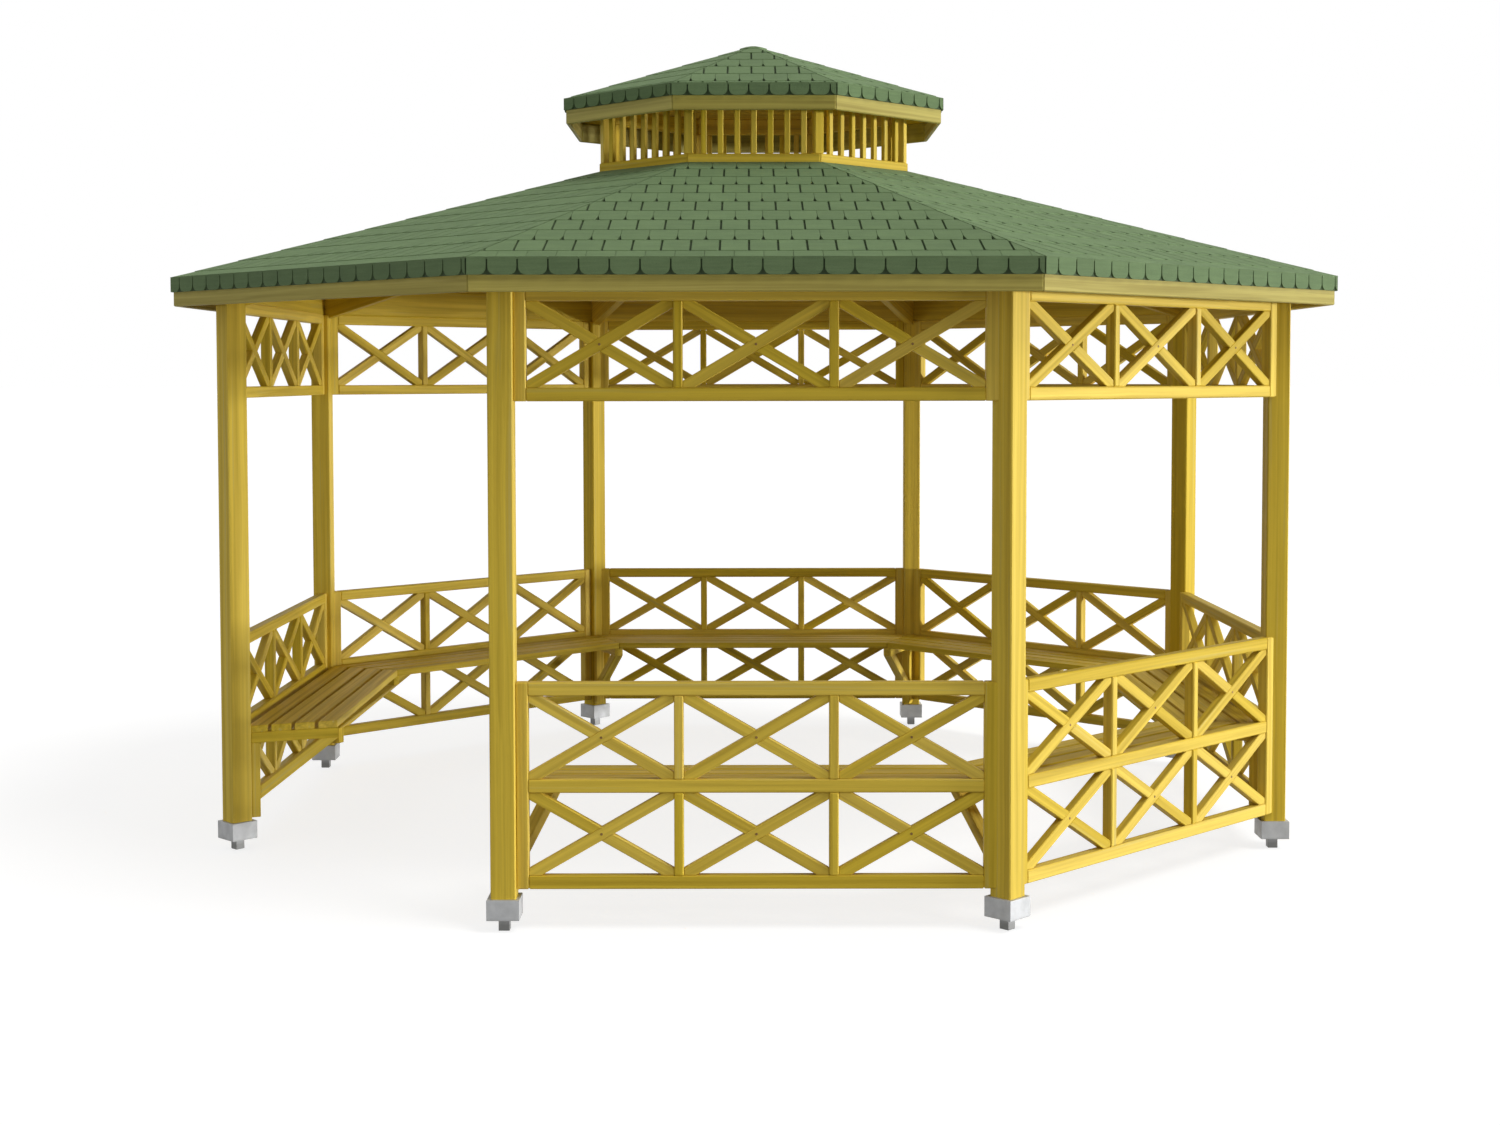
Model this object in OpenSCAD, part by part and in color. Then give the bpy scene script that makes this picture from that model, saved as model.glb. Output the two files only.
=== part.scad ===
// Octagonal timber gazebo: eight posts on metal shoes, lattice railings and
// friezes on seven sides, one open entrance side, a corner-to-corner bench,
// a shingled main roof and a small louvred lantern with its own roof.
//
// Frame: origin at the centre of the octagon on the underside of the shoes,
// +Z up, the front side faces -Y and the entrance side is front-left.

/* [Plan] */
// Distance between the centres of neighbouring posts
side = 1800; // [1500:10:2160]

/* [Posts] */
// Width of the square posts
post_w = 90; // [74:2:110]
// Height of the post tops above the ground
post_top = 2292; // [1900:4:2760]

/* [Shoes] */
// Width of the shoe cup under each post
shoe_w = 118; // [112:2:140]
// Height of the shoe cup
shoe_h = 74; // [50:1:100]
// Thickness of the cup floor
shoe_floor = 8; // [5:1:15]
// Width of the square stub under the cup
stub_w = 40; // [30:1:60]
// Height of the stub
stub_h = 45; // [30:1:90]

/* [Railings] */
// Underside of the railing panels
rail_z = 150; // [130:1:200]
// Top of the railing panels
rail_top = 892; // [800:1:1100]
// Height of the rails
rail_h = 48; // [36:1:60]
// Depth of the panel frames
panel_t = 45; // [35:1:50]
// Width of the end stiles
stile_w = 45; // [35:1:60]
// Width of the two upright bars between the bays
mullion_w = 34; // [24:1:50]
// Width of the crossed braces
brace_w = 42; // [25:1:50]
// Depth of the crossed braces
brace_t = 34; // [20:1:34]
// Top of the middle rail
mid_rail_top = 544; // [480:1:620]

/* [Frieze] */
// Height of the frieze panels
frieze_h = 402; // [300:1:480]

/* [Bench] */
// Height of the seat above the ground
seat_z = 518; // [440:1:540]
// Width of one seat plank
plank_w = 76; // [60:1:84]
// Thickness of the seat planks
plank_t = 30; // [20:1:40]
// Gap between the seat planks
plank_gap = 15; // [6:1:20]
// Distance from the post line to the first plank
plank_in = 47; // [47:1:60]
// Height of the seat bearers
bearer_h = 44; // [30:1:60]
// Width of the seat bearers, legs and struts
bearer_w = 45; // [30:1:50]
// Underside of the legs that carry the bearers
leg_z = 130; // [124:1:180]
// Height above the ground of the struts' lower end
strut_z = 206; // [190:1:260]

/* [Main roof] */
// Pitch of the main roof in degrees
roof_pitch = 16.33; // [12:0.01:22]
// Overhang of the eave beyond the post line
eave_over = 224; // [150:1:300]
// Height of the upper eave edge above the post tops
eave_up = 96; // [80:1:130]
// Height of the shingle band on the eave
band_h = 62; // [40:1:80]
// Thickness of the shingle band
band_t = 11; // [6:1:20]
// Distance from the upper eave edge to the underside of the fascia
fascia_drop = 120; // [100:1:150]
// Thickness of the fascia boards
fascia_t = 20; // [15:1:30]
// Upright thickness of the shingle layer
shingle_t = 14; // [8:1:20]
// Upright thickness of the roof boards
board_t = 20; // [15:1:30]
// Width of the hip rafters
rafter_w = 45; // [35:1:60]
// Upright depth of the hip rafters
rafter_h = 160; // [120:1:180]

/* [Lantern] */
// Distance from the centre to the flat faces of the lantern
lantern_r = 684; // [560:1:760]
// Height of the curb above the main roof
curb_up = 34; // [20:1:60]
// Thickness of the curb and of the top plate
curb_t = 36; // [30:1:50]
// Height of the openings between curb and top plate
louvre_h = 236; // [180:1:300]
// Width of the corner posts of the lantern
lantern_post_w = 40; // [30:1:45]
// Width of the upright slats
slat_w = 24; // [16:1:34]
// Depth of the upright slats
slat_t = 20; // [12:1:28]
// Number of gaps on each lantern face
slat_gaps = 8; // [6:1:9]

/* [Lantern roof] */
// Pitch of the lantern roof in degrees
top_pitch = 18.8; // [14:0.1:26]
// Overhang of the lantern eave
top_over = 152; // [100:1:200]
// Upper eave edge above the top plate's underside
top_up = 42; // [30:1:60]
// Height of the shingle band
top_band_h = 52; // [30:1:60]
// Thickness of the shingle band
top_band_t = 10; // [6:1:16]
// Distance from the upper eave edge to the underside of the fascia
top_drop = 112; // [90:1:125]
// Thickness of the lantern fascia
top_fascia_t = 16; // [12:1:24]
// Upright thickness of the shingle layer
top_shingle_t = 12; // [8:1:16]
// Upright thickness of the boards
top_board_t = 18; // [12:1:24]
// Distance from the centre to the inner edge of the roof panels
cap_in = 30; // [20:1:60]
// Height of the rounded cap
cap_h = 17; // [10:1:30]

/* [Hidden] */

// one eighth of a turn, and half of it
turn = 45;
half = turn / 2;
sides = 8;
// all sides but the entrance, which is the last one
closed_sides = 7;
// distance from the centre to the post line, and to the post centres
apo = side / 2 / tan(half);
post_r = apo / cos(half);
// working clearances: between mitred pieces, and under a seated face
joint = 0.4;
fit = 0.05;
hip_gap = 2;
mitre_gap = 3;
far = 4 * side;

post_z0 = stub_h + shoe_floor;
panel_x0 = -side / 2 + post_w / 2;
panel_tip = side / 2 - post_w / 2 * sqrt(2) - fit;
panel_x1 = panel_tip + panel_t / 2;
bars = 2;
bays = bars + 1;
inner_x0 = panel_x0 + stile_w;
inner_x1 = panel_x1 - stile_w;
bay_w = (inner_x1 - inner_x0 - bars * mullion_w) / bays;
frieze_top = post_top;
frieze_z = frieze_top - frieze_h;

plank_z = seat_z - plank_t;
planks = 4;
seat_in = plank_in + planks * plank_w + (planks - 1) * plank_gap;
bearer_z = plank_z - bearer_h;
bearer_set = 6;
bearer_in = seat_in / cos(half) - bearer_set;
bearer_out = 20;
leg_out = post_w / 2 / cos(half) + bearer_w;
strut_h = 1.25 * bearer_w;
strut_run = 1.4 * strut_h;

eave_r = apo + eave_over;
eave_z = post_top + eave_up;
fascia_r = eave_r - band_t;
fascia_z = eave_z - fascia_drop;
curb_z1 = roof_z(lantern_r) + curb_up;
curb_z0 = under_boards(lantern_r) - rafter_h - 6;

plate_z = curb_z1 + louvre_h;
top_r = lantern_r + top_over;
top_z = plate_z + top_up;
top_fascia_r = top_r - top_band_t;
top_fascia_z = top_z - top_drop;
lantern_corner = lantern_r / cos(half);
lantern_side = 2 * lantern_r * tan(half);
slat_pitch = lantern_side / slat_gaps;
slat_set = 3;

// height of the shingle surface at distance r from the axis
function roof_z(r) = eave_z + (eave_r - r) * tan(roof_pitch);
function under_shingles(r) = roof_z(r) - shingle_t;
function under_boards(r) = roof_z(r) - shingle_t - board_t;
function below(r) = under_boards(r) - fit;
function top_roof_z(r) = top_z + (top_r - r) * tan(top_pitch);
function under_top_shingles(r) = top_roof_z(r) - top_shingle_t;
function under_top_boards(r) = top_roof_z(r) - top_shingle_t - top_board_t;
function below_top(r) = under_top_boards(r) - fit;
// end of a seat plank at distance y inside the post line: on the mitre, or
// flush with the free face of the last bearer beside the entrance
function mitre_x(y) = side / 2 - y * tan(half) - mitre_gap / 2;
function last_x(y) = side / 2 - y * tan(half) + bearer_w / 2 / cos(half);

// places children on side k: x along the side, y inwards from the axis
module on_side(k)
  rotate([0, 0, turn * k])
    children();

// places children on the post line of side k
module on_post_line(k)
  on_side(k)
    translate([0, -apo, 0])
      children();

// places children on the diagonal through post k
module on_corner(k)
  rotate([0, 0, turn * k - half])
    children();

// extrudes an outline of [distance from the axis, height] along a side
module section(points, length)
  rotate([90, 0, -90])
    linear_extrude(height = length, center = true)
      polygon(points);

// the eighth of the plan that belongs to the front side
module wedge(gap)
  translate([0, -gap / 2 / sin(half), 0])
    linear_extrude(height = far)
      polygon([[0, 0], [far * sin(half), -far * cos(half)],
               [-far * sin(half), -far * cos(half)]]);

// an octagonal prism with flat faces at distance r
module octagon(r, z0, z1)
  translate([0, 0, z0])
    rotate([0, 0, half])
      cylinder(h = z1 - z0, r = r / cos(half), $fn = 8);

// one mitred piece per side, all cut from the same section
module ring_of(points, gap)
  for (k = [0 : sides - 1])
    on_side(k)
      intersection() {
        section(points, far);
        wedge(gap);
      }

module post_block(k, z0, z1, w)
  on_post_line(k)
    translate([-side / 2 - w / 2, -w / 2, z0])
      cube([w, w, z1 - z0]);

module post(k)
  color("peru")
    post_block(k, post_z0, post_top, post_w);

module shoe(k)
  on_post_line(k)
    translate([-side / 2, 0, 0])
      difference() {
        union() {
          translate([-stub_w / 2, -stub_w / 2, 0])
            cube([stub_w, stub_w, stub_h + 1]);
          translate([-shoe_w / 2, -shoe_w / 2, stub_h])
            cube([shoe_w, shoe_w, shoe_h]);
        }
        translate([-post_w / 2, -post_w / 2, post_z0])
          cube([post_w, post_w, shoe_h]);
      }

module post_shoes()
  color("lightgray")
    for (k = [0 : sides - 1])
      shoe(k);

// a straight bar from one point to another, in the plane of a panel
module brace(p, q) {
  run = norm(q - p);
  lap = 10;
  translate(p)
    rotate(atan2(q[1] - p[1], q[0] - p[0]))
      translate([-lap, -brace_w / 2])
        square([run + 2 * lap, brace_w]);
}

// the crossed braces of one row of bays
module crosses(z0, z1)
  translate([0, brace_t / 2, 0])
    rotate([90, 0, 0])
      linear_extrude(height = brace_t)
        for (i = [0 : bays - 1]) {
          x0 = inner_x0 + i * (bay_w + mullion_w);
          x1 = x0 + bay_w;
          brace([x0, z0], [x1, z1]);
          brace([x0, z1], [x1, z0]);
        }

// frame of a panel: rails at the given heights, stiles and two bars
module panel_frame(z0, z1, rails) {
  for (z = rails)
    translate([panel_x0, -panel_t / 2, z])
      cube([inner_x1 - panel_x0 + 1, panel_t, rail_h]);
  translate([panel_x0, -panel_t / 2, z0])
    cube([stile_w, panel_t, z1 - z0]);
  for (i = [1 : bars])
    translate([inner_x0 + i * bay_w + (i - 1) * mullion_w, -panel_t / 2, z0])
      cube([mullion_w, panel_t, z1 - z0]);
  translate([0, 0, z0])
    linear_extrude(height = z1 - z0)
      polygon([[inner_x1, -panel_t / 2], [panel_x1, -panel_t / 2],
               [panel_tip, 0], [panel_x1, panel_t / 2],
               [inner_x1, panel_t / 2]]);
}

module railing(k)
  color("goldenrod")
    on_post_line(k) {
      panel_frame(rail_z, rail_top,
                  [rail_z, mid_rail_top - rail_h, rail_top - rail_h]);
      crosses(rail_z + rail_h, mid_rail_top - rail_h);
      crosses(mid_rail_top, rail_top - rail_h);
    }

module frieze(k)
  color("goldenrod")
    on_post_line(k) {
      panel_frame(frieze_z, frieze_top, [frieze_z, frieze_top - rail_h]);
      crosses(frieze_z + rail_h, frieze_top - rail_h);
    }

// seat planks, mitred at the corners and cut clear of the posts
module bench(k)
  color("peru")
    difference() {
      on_post_line(k)
        for (j = [0 : planks - 1]) {
          y0 = plank_in + j * (plank_w + plank_gap);
          y1 = y0 + plank_w;
          first = k == 0;
          last = k == closed_sides - 1;
          xl0 = first ? last_x(y0) : mitre_x(y0);
          xl1 = first ? last_x(y1) : mitre_x(y1);
          xr0 = last ? last_x(y0) : mitre_x(y0);
          xr1 = last ? last_x(y1) : mitre_x(y1);
          translate([0, 0, plank_z])
            linear_extrude(height = plank_t)
              polygon([[-xl0, y0], [xr0, y0], [xr1, y1], [-xl1, y1]]);
        }
      post_block(k, 0, post_top, post_w + joint);
      post_block(k + 1, 0, post_top, post_w + joint);
    }

// what lies inside the inner faces of the panels and clear of post k
module inside_corner(k)
  difference() {
    intersection() {
      on_corner(k)
        children();
      octagon(apo - panel_t / 2 - fit, 0, far);
    }
    post_block(k, 0, post_top, post_w + 2 * fit);
  }

module bench_bearers()
  color("peru")
    for (k = [0 : sides - 1])
      inside_corner(k)
        translate([-bearer_w / 2, -post_r + bearer_out, bearer_z])
          cube([bearer_w, bearer_in - bearer_out, bearer_h]);

// upright legs against the inner side of the posts
module bench_legs()
  color("peru")
    for (k = [0 : sides - 1])
      inside_corner(k)
        translate([-bearer_w / 2, -post_r + bearer_out, leg_z])
          cube([bearer_w, leg_out - bearer_out, bearer_z - leg_z]);

module bench_struts()
  color("peru")
    for (k = [0 : sides - 1])
      on_corner(k)
        section([[post_r - leg_out - fit, strut_z],
                 [post_r - leg_out - fit, strut_z + strut_h],
                 [post_r - bearer_in + strut_run, bearer_z],
                 [post_r - bearer_in, bearer_z]], bearer_w);

// plates that lie on the posts and friezes and carry the roof boards
module wall_plates()
  color("goldenrod")
    ring_of([[apo + panel_t / 2, post_top],
             [apo + panel_t / 2, below(apo + panel_t / 2)],
             [apo - panel_t / 2, below(apo - panel_t / 2)],
             [apo - panel_t / 2, post_top]], joint);

// half space above the underside of the main roof boards of side k
module above_boards(k)
  on_side(k)
    translate([0, -lantern_r, below(lantern_r)])
      rotate([roof_pitch, 0, 0])
        translate([-far / 2, -far / 2, 0])
          cube([far, far, side]);

module hip_rafters()
  color("saddlebrown")
    for (k = [0 : sides - 1])
      difference() {
        intersection() {
          on_corner(k)
            section([[lantern_corner - 20,
                      under_boards(lantern_r) - rafter_h],
                     [lantern_corner - 20, under_boards(lantern_r) + 40],
                     [post_r, under_boards(apo) + 40],
                     [post_r, under_boards(apo) - rafter_h]], rafter_w);
          octagon(apo - panel_t / 2 - fit, 0, far);
        }
        octagon(lantern_r + fit, 0, far);
        post_block(k, 0, post_top, post_w + joint);
        above_boards(k);
        above_boards(k - 1);
      }

module eave_fascia()
  color("goldenrod")
    ring_of([[fascia_r, fascia_z],
             [fascia_r, below(fascia_r)],
             [fascia_r - fascia_t, below(fascia_r - fascia_t)],
             [fascia_r - fascia_t, fascia_z]], joint);

module roof_boards()
  color("burlywood")
    ring_of([[lantern_r, under_shingles(lantern_r)],
             [fascia_r, under_shingles(fascia_r)],
             [fascia_r, under_boards(fascia_r)],
             [lantern_r, under_boards(lantern_r)]], joint);

module roof_shingles()
  color("darkseagreen")
    ring_of([[lantern_r, roof_z(lantern_r)],
             [eave_r, eave_z],
             [eave_r, eave_z - band_h],
             [fascia_r, eave_z - band_h],
             [fascia_r, under_shingles(fascia_r)],
             [lantern_r, under_shingles(lantern_r)]], hip_gap);

module lantern_curb()
  color("goldenrod")
    ring_of([[lantern_r, curb_z0], [lantern_r, curb_z1],
             [lantern_r - curb_t, curb_z1],
             [lantern_r - curb_t, curb_z0]], joint);

// corner posts of the lantern, and the slats between them
module lantern_uprights()
  color("goldenrod") {
    for (k = [0 : sides - 1])
      on_corner(k)
        translate([-lantern_post_w / 2,
                   -lantern_corner + lantern_post_w / 2 * tan(half) + slat_set,
                   curb_z1])
          cube([lantern_post_w, lantern_post_w, louvre_h]);
    for (k = [0 : sides - 1])
      on_side(k)
        for (i = [1 : slat_gaps - 1])
          translate([(i - slat_gaps / 2) * slat_pitch - slat_w / 2,
                     -lantern_r + slat_set, curb_z1])
            cube([slat_w, slat_t, louvre_h]);
  }

module lantern_plate()
  color("goldenrod")
    ring_of([[lantern_r, plate_z],
             [lantern_r, below_top(lantern_r)],
             [lantern_r - curb_t, below_top(lantern_r - curb_t)],
             [lantern_r - curb_t, plate_z]], joint);

module lantern_fascia()
  color("goldenrod")
    ring_of([[top_fascia_r, top_fascia_z],
             [top_fascia_r, below_top(top_fascia_r)],
             [top_fascia_r - top_fascia_t,
              below_top(top_fascia_r - top_fascia_t)],
             [top_fascia_r - top_fascia_t, top_fascia_z]], joint);

module lantern_boards()
  color("burlywood")
    ring_of([[cap_in, under_top_shingles(cap_in)],
             [top_fascia_r, under_top_shingles(top_fascia_r)],
             [top_fascia_r, under_top_boards(top_fascia_r)],
             [cap_in, under_top_boards(cap_in)]], joint);

module lantern_shingles()
  color("darkseagreen")
    ring_of([[cap_in, top_roof_z(cap_in)],
             [top_r, top_z],
             [top_r, top_z - top_band_h],
             [top_fascia_r, top_z - top_band_h],
             [top_fascia_r, under_top_shingles(top_fascia_r)],
             [cap_in, under_top_shingles(cap_in)]], hip_gap);

// king block between the roof panels, with a rounded top over their edges
module roof_cap()
  color("darkseagreen") {
    octagon(cap_in, under_top_boards(cap_in) - 40, top_roof_z(cap_in) + 1);
    translate([0, 0, top_roof_z(cap_in)])
      rotate_extrude($fn = 48)
        intersection() {
          translate([0, cap_h - cap_round])
            circle(r = cap_round, $fn = 96);
          square([cap_round, cap_h]);
        }
  }

// radius of the cap's dome, which covers the inner edge of the panels
cap_cover = cap_in / cos(half) + 12;
cap_round = (cap_cover * cap_cover + cap_h * cap_h) / (2 * cap_h);

post(0);  // post_front_left
post(1);  // post_front_right
post(2);  // post_right_front
post(3);  // post_right_back
post(4);  // post_back_right
post(5);  // post_back_left
post(6);  // post_left_back
post(7);  // post_left_front
post_shoes();
railing(0);  // railing_front
railing(1);  // railing_front_right
railing(2);  // railing_right
railing(3);  // railing_back_right
railing(4);  // railing_back
railing(5);  // railing_back_left
railing(6);  // railing_left
frieze(0);  // frieze_front
frieze(1);  // frieze_front_right
frieze(2);  // frieze_right
frieze(3);  // frieze_back_right
frieze(4);  // frieze_back
frieze(5);  // frieze_back_left
frieze(6);  // frieze_left
bench(0);  // bench_front
bench(1);  // bench_front_right
bench(2);  // bench_right
bench(3);  // bench_back_right
bench(4);  // bench_back
bench(5);  // bench_back_left
bench(6);  // bench_left
bench_bearers();
bench_legs();
bench_struts();
wall_plates();
hip_rafters();
eave_fascia();
roof_boards();
roof_shingles();
lantern_curb();
lantern_uprights();
lantern_plate();
lantern_fascia();
lantern_boards();
lantern_shingles();
roof_cap();
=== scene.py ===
"""Octagonal timber gazebo: squared posts, lattice panels, bench, shingled roofs and a lantern."""

import math
import random

import bmesh
import bpy
from bpy.props import FloatProperty, FloatVectorProperty, PointerProperty
from mathutils import Matrix, Vector


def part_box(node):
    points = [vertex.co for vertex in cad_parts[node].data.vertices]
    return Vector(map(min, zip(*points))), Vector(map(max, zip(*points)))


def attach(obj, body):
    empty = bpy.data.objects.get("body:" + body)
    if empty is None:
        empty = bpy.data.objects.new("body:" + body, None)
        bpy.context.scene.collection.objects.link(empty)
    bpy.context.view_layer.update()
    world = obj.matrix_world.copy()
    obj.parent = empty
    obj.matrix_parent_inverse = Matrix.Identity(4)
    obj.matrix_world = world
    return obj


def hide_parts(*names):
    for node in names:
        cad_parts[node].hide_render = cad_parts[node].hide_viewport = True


bl_info = {
    "name": "Octagonal Gazebo",
    "version": (1, 0, 0),
    "blender": (4, 5, 0),
    "location": "View3D > Sidebar > Gazebo",
    "description": "Builds the timbers, shingles and shoes of an eight-sided gazebo",
    "category": "Add Mesh",
}

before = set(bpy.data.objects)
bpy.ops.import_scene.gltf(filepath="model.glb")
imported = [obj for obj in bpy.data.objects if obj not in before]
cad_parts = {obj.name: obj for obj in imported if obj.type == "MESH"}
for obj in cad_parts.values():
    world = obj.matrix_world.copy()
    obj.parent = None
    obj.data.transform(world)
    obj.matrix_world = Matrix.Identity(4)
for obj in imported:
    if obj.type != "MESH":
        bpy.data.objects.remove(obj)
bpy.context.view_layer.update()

SIDES = 8
TURN = 2 * math.pi / SIDES
HALF = TURN / 2
BODY = "root"
SIDE_NAMES = ("front", "front_right", "right", "back_right", "back", "back_left", "left")
POST_NAMES = (
    "post_front_left", "post_front_right", "post_right_front", "post_right_back",
    "post_back_right", "post_back_left", "post_left_back", "post_left_front",
)

# Tolerances: points that merge, faces that count as flat, arrises that are eased, and the sine of
# the lean up to which a timber counts as upright.
MERGE = 0.00001
FLAT = math.radians(0.5)
SHARP = math.radians(25)
SKEW = math.radians(120)
UPRIGHT = 0.3

# Wood: how far the grain is shifted from timber to timber, along it and across, and how much
# the timbers differ in tone.
GRAIN_SHIFT = (40, 9, 9)
TIMBER_SPREAD = 0.5
BAYS = 3
SCREW_TAPER = 0.62

# Roofs: distance from the axis at which the boards and tabs end, height of the band that hangs
# over the fascia, and thickness of the boards.
CURB_RADIUS, TIP_RADIUS = 0.684, 0.030
ROOF_BAND, LANTERN_BAND = 0.062, 0.052
ROOF_BOARD, LANTERN_BOARD = 0.020, 0.018
BOARD_GAP = 0.001
BOARD_ARRIS = 0.004
SPARE = 0.1

# Shingles: where the tabs start on a face (first course above the eave, first slit and first slit
# of the band, both from the middle of the face), how the tabs differ in tone, and the painted
# shade that darkens the band's tabs and, far more, the felt.
ROOF_LAY = (0.093, -0.022, 0.025)
LANTERN_LAY = (0.203, -0.010, -0.022)
TAB_SPREAD = 0.2
BAND_SHADE_TONE = -1.0
FELT_SHADE_TONE = -2.6

# Felt behind the slits, its dark tone painted shade: the sheet below the face of the roof and the
# strip behind the band, then the band's tabs and the width of their slits as a share of a slope's
# slit.
FELT_SHADE_TOP, FELT_SHADE_FOOT = -0.009, -0.014
STRIP = 0.005
STRIP_MARGIN = 0.002
BAND_THICK = 0.0055
BAND_SLIT = 0.7

# Half of the cap's section: distance from the axis, and height above the roof face there.
CAP_PROFILE = (
    (0.062, -0.0030), (0.062, 0.0020), (0.060, 0.0035), (0.036, 0.0035),
    (0.025, 0.0026), (0.013, 0.0003), (0.0, -0.0022),
)

# Stage: an eye-level camera, two low panels far off, a high lamp and a wide floor.
CAMERA_PLACE = (-0.0265, -9.4144, 1.9709)
CAMERA_TURN = (math.radians(90 - 2.67), 0.0013, -0.001)
FAR_CLIP = 2000
KEY_PLACE = (42.0, -7.0, 1.0)
SIDE_PLACE = (-38.0, -28.0, 1.0)
PANEL_SIZE = (9.0, 2.6)
AIM = Vector((0, 0, 1.6))
FILL_AZIMUTH, FILL_HEIGHT, FILL_SOFTNESS = 60, 55, 25
FLOOR_REACH = 400
FLOOR_GREY = 0.36
FLOOR_GLOW = 0.80


def plan():
    """Post width, post spacing and distance of the post line, from the front left post."""
    low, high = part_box("post_front_left")
    return high.x - low.x, -(low.x + high.x), -(low.y + high.y) / 2


POST_W, SIDE, APOTHEM = plan()
AXES = (Vector((1, 0, 0)), Vector((0, 1, 0)), Vector((0, 0, 1)))
HIP_NORMALS = tuple(Vector((way * math.cos(HALF), math.sin(HALF), 0)) for way in (1, -1))


# ---------------------------------------------------------------- settings


def length(label, text, default):
    """A size property in metres."""
    return FloatProperty(
        name=label, description=text, default=default, min=0.0, subtype="DISTANCE", unit="LENGTH"
    )


def colour(label, text, default):
    """A colour property."""
    return FloatVectorProperty(
        name=label, description=text, default=default, min=0.0, max=1.0, size=3, subtype="COLOR"
    )


class GazeboTimber(bpy.types.PropertyGroup):
    """Sizes and colours of the woodwork."""

    arris: length("Arris", "Width of the eased edges of posts and rails", 0.004)
    thin_arris: length("Thin arris", "Width of the eased edges of braces and slats", 0.0025)
    stile: length("Stile", "Width of the end stiles of a panel", 0.045)
    bar: length("Bar", "Width of the upright bars between the bays", 0.034)
    rail: length("Rail", "Height of the rails", 0.048)
    mid_rail: length("Middle rail", "Top of the middle rail above the ground", 0.544)
    panel: length("Panel depth", "Depth of stiles and rails", 0.045)
    brace: length("Brace", "Width of the crossed braces", 0.042)
    brace_depth: length("Brace depth", "Depth of the crossed braces", 0.034)
    screw: length("Screw", "Radius of the screw heads at the crossings", 0.006)
    screw_rise: length("Screw rise", "Length of a screw head, half of it in the wood", 0.0036)
    board: length("Board", "Cover width of one roof board", 0.118)
    stain: colour("Stain", "Colour of the wood between the dark streaks", (0.86, 0.635, 0.072))
    streak: colour("Streak", "Colour of the late wood streaks", (0.48, 0.325, 0.032))
    grey: colour("Weathered", "Colour of the few pale grey streaks", (0.60, 0.50, 0.15))
    bleached: colour("Bleached", "Colour of the fascia boards in the weather", (0.57, 0.49, 0.125))
    bleached_streak: colour("Bleached streak", "Their darker streaks", (0.27, 0.215, 0.050))


class GazeboShingles(bpy.types.PropertyGroup):
    """Sizes and colours of the shingles."""

    pitch: length("Tab pitch", "Distance between neighbouring tabs on the slopes", 0.102)
    course: length("Course", "Height of one course up the slope", 0.170)
    slit: length("Slit", "Width of the open slits between tabs", 0.008)
    closed_slit: length("Closed slit", "Width of the slits in every second course", 0.0015)
    corner: length("Corner", "Radius of the lower corners of a tab on the slopes", 0.007)
    notch: length("Notch", "Width at the foot of the wedge that opens a closed slit", 0.014)
    waist: length("Notch height", "Height of that wedge", 0.068)
    band_corner: length("Band corner", "Radius of the rounded lower corners on the eave", 0.026)
    thick: length("Thickness", "Thickness of the lower edge of a tab", 0.0020)
    band_pitch: length("Band pitch", "Distance between neighbouring tabs on the eave", 0.105)
    top_band_pitch: length("Upper band pitch", "Same on the lantern roof", 0.085)
    hip_gap: length("Hip gap", "Open line between two roof faces at a hip", 0.006)
    granule: colour("Granules", "Colour of the green granules", (0.196, 0.292, 0.130))
    shade: colour("Dark granules", "Colour of the darker blend", (0.132, 0.204, 0.092))


class GazeboSteel(bpy.types.PropertyGroup):
    """Size and colours of the post shoes and screw heads."""

    edge: length("Edge", "Width of the rounded edges of the cups", 0.0018)
    coat: colour("Coat", "Colour of the grey coat", (0.54, 0.55, 0.56))
    bronze: colour("Screws", "Colour of the bronzed screw heads", (0.23, 0.13, 0.035))


class GazeboStudio(bpy.types.PropertyGroup):
    """Camera and light."""

    lens: FloatProperty(name="Lens", description="Focal length in mm", default=49.08, min=1.0)
    drop: FloatProperty(name="Shift", description="Vertical lens shift", default=-0.0593)
    key: FloatProperty(name="Key", description="Power of the low lamp on the right", default=18500.0)
    side: FloatProperty(name="Side", description="Power of the low lamp on the left", default=2000.0)
    fill: FloatProperty(name="Fill", description="Strength of the high lamp", default=1.15)
    sky: FloatProperty(name="Sky", description="Strength of the surroundings", default=0.37)


# ---------------------------------------------------------------- mesh helpers


def open_piece():
    """An empty bmesh with the layers that the wood and shingle finishes read."""
    bm = bmesh.new()
    bm.verts.layers.float_vector.new("grain")
    bm.verts.layers.float.new("tone")
    return bm


def close_piece(name, bm, finish, nodes):
    """Turns the bmesh into a piece that rides on the frame and stands for its nodes."""
    bmesh.ops.recalc_face_normals(bm, faces=bm.faces)
    mesh = bpy.data.meshes.new(name)
    bm.to_mesh(mesh)
    bm.free()
    piece = bpy.data.objects.new(name, mesh)
    bpy.context.scene.collection.objects.link(piece)
    mesh.materials.append(finish)
    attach(piece, BODY)
    if nodes:
        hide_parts(*nodes)


def islands(bm):
    """The separate solids of a bmesh, as lists of vertices in mesh order."""
    bm.verts.index_update()
    seen = set()
    found = []
    for seed in bm.verts:
        if seed.index in seen:
            continue
        seen.add(seed.index)
        group = [seed]
        for vert in group:
            for edge in vert.link_edges:
                other = edge.other_vert(vert)
                if other.index not in seen:
                    seen.add(other.index)
                    group.append(other)
        found.append(group)
    return found


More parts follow.
